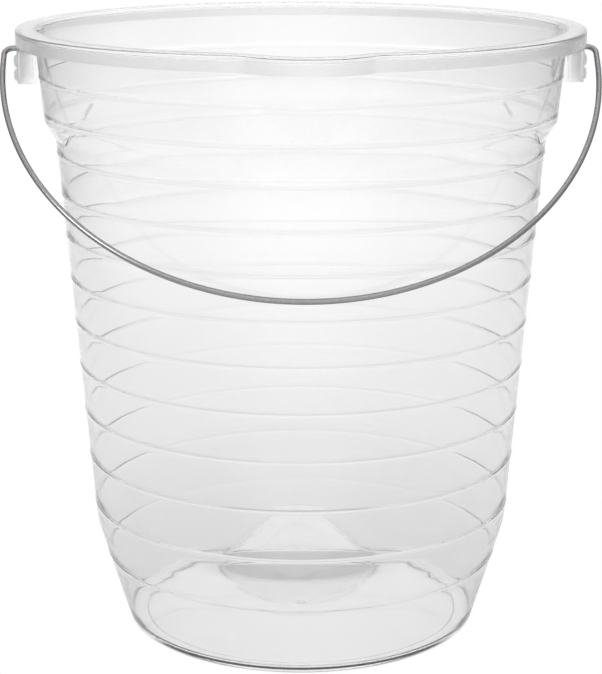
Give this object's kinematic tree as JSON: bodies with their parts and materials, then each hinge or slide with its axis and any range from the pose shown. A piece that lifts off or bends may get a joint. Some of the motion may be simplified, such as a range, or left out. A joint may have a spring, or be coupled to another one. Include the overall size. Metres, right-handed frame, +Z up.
{
  "type": "bucket",
  "caption": "Clear plastic round bucket with a pour lip, raised litre rings, a tipping grip at the base and a swinging wire bail.",
  "frame": {"origin": "centre of the bucket's base on the plane that it stands on", "axes": "+Z up along the bucket's axis, -Y towards the pour lip, +Y towards the tipping grip, X through the two bail pivots"},
  "size_m": [0.3058, 0.303, 0.3165],
  "materials": {
    "clear_plastic": "glossy clear plastic, not glass",
    "steel_wire": "bright drawn wire"
  },
  "bodies": {
    "bucket": {"bucket_body": "clear_plastic"},
    "bail": {"bail_handle": "steel_wire"}
  },
  "joints": [
    {"name": "bail_swing", "type": "hinge", "parent": "bucket", "child": "bail", "pos_m": [0, 0, 0.3052], "axis": [-1, 0, 0], "range_deg": [0, 260.8]}
  ]
}
